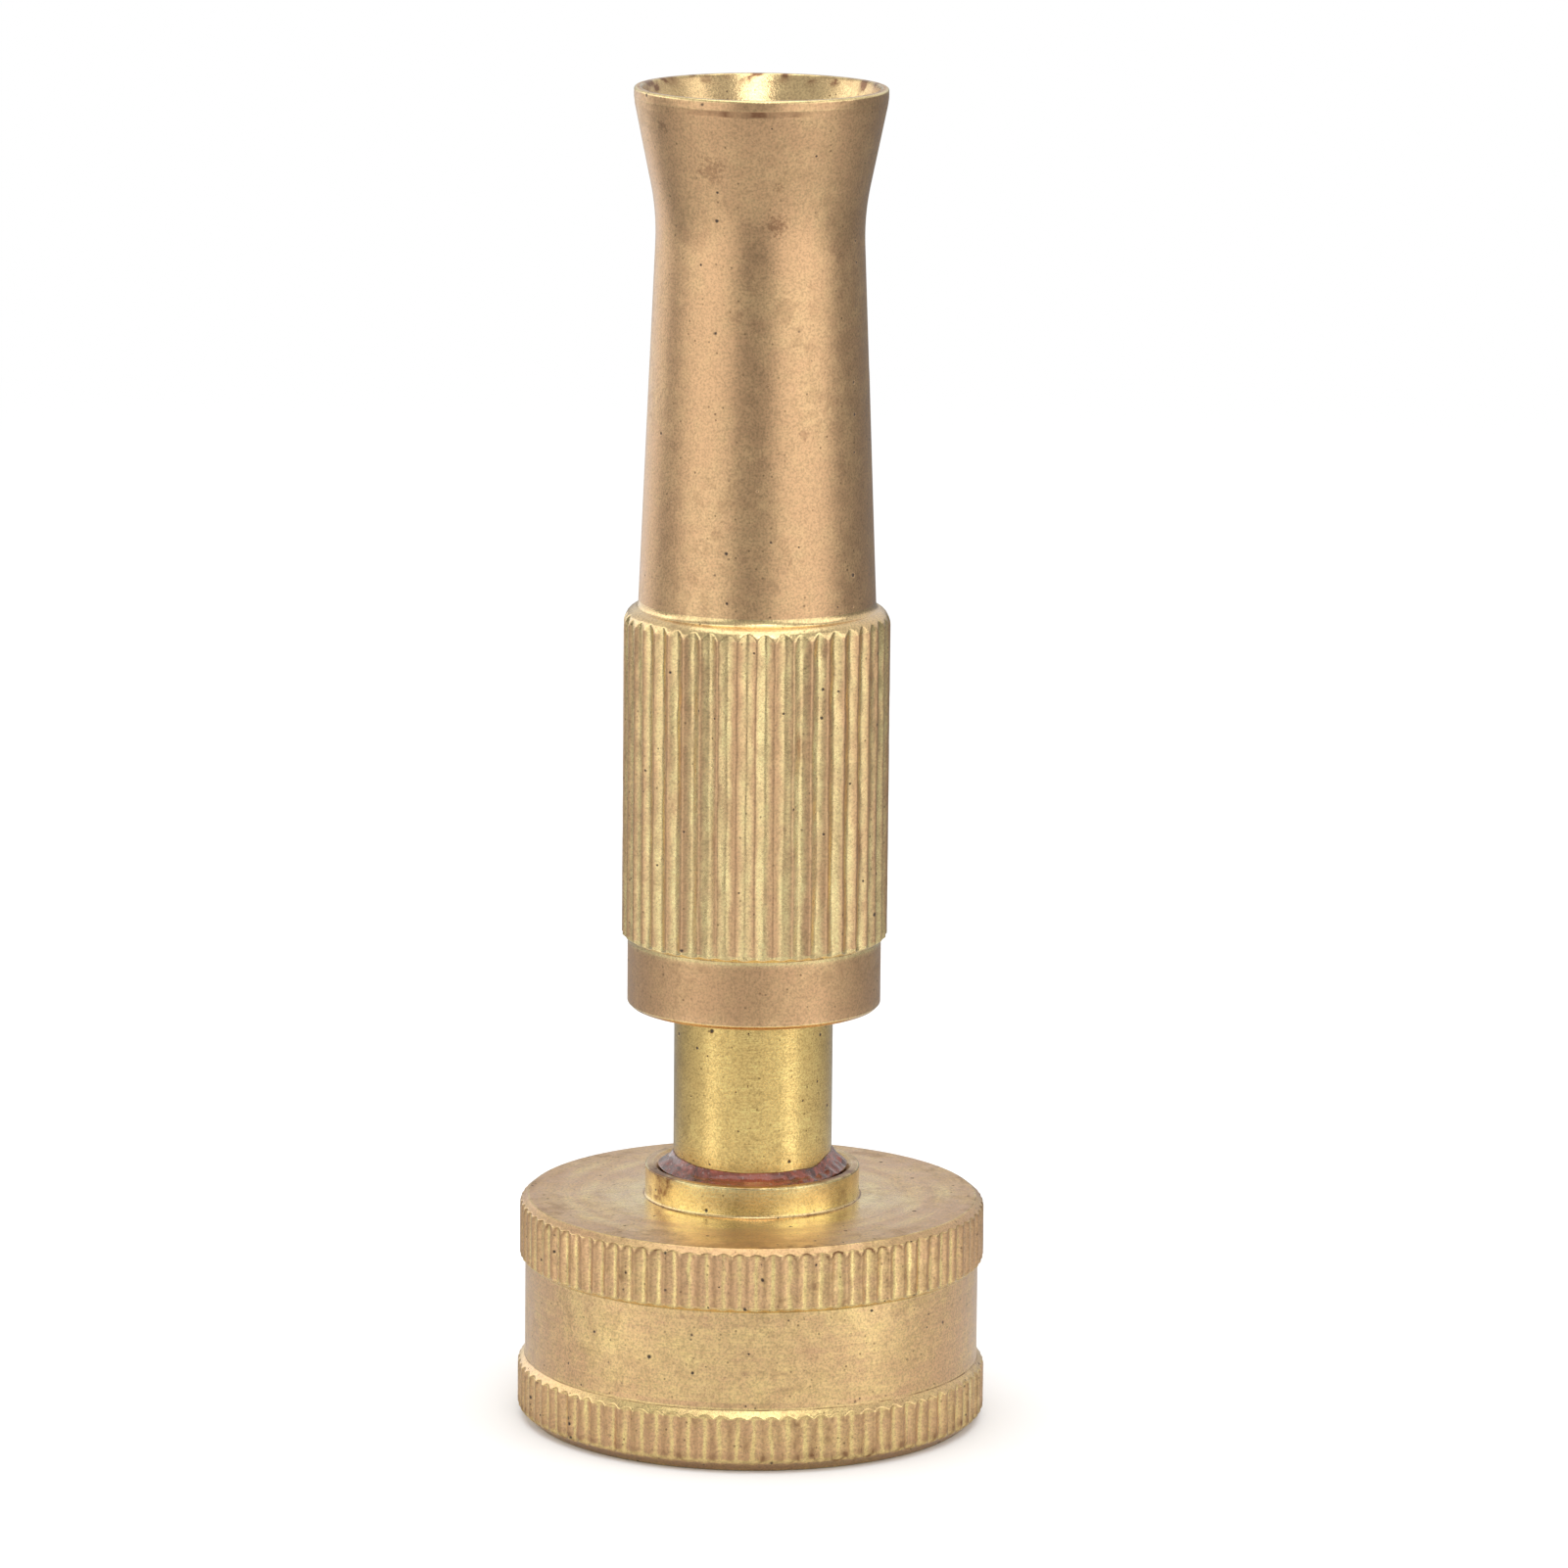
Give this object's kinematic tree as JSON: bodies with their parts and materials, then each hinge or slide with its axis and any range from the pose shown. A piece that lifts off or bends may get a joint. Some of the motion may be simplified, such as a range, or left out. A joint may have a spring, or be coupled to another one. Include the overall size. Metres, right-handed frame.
{
  "type": "adjustable twist hose spray nozzle",
  "caption": "Turned brass hose nozzle: a knurled barrel with a flared muzzle screws along a stem to shut off or shape the spray, on a knurled female hose coupling.",
  "frame": {"origin": "centre of the coupling's open lower face, which it stands on", "axes": "+Z along the nozzle's axis of revolution, from the hose to the muzzle"},
  "size_m": [0.033, 0.033, 0.094],
  "materials": {
    "coupling_brass": "turned and knurled, dull with bright worn edges",
    "stem_brass": "turned, satin, fine lathe lines",
    "barrel_brass": "tumbled satin, slightly tarnished to a pinkish tan",
    "sealant": "glossy dark red-brown hardened resin",
    "seal_rubber": "matt black nitrile rubber"
  },
  "bodies": {
    "hose_side": {"coupling": "coupling_brass", "stem": "stem_brass", "stem_tip": "stem_brass", "neck_sealant": "sealant", "hose_washer": "seal_rubber", "stem_o_ring_lower": "seal_rubber", "stem_o_ring_upper": "seal_rubber", "tip_o_ring": "seal_rubber"},
    "advance_ring": {"barrel_friction_ring": "seal_rubber"},
    "barrel_body": {"barrel": "barrel_brass"}
  },
  "joints": [
    {"name": "barrel_advance", "type": "slide", "parent": "hose_side", "child": "advance_ring", "axis": [0, 0, 1], "range_m": [-0.0015, 0.005]},
    {"name": "barrel_twist", "type": "hinge", "parent": "advance_ring", "child": "barrel_body", "pos_m": [0, 0, 0.031], "axis": [0, 0, 1], "range_deg": [-271, 901]}
  ],
  "couplings": [
    {"joint": "barrel_twist", "follows": "barrel_advance", "rad_per_m": 3141.6}
  ]
}
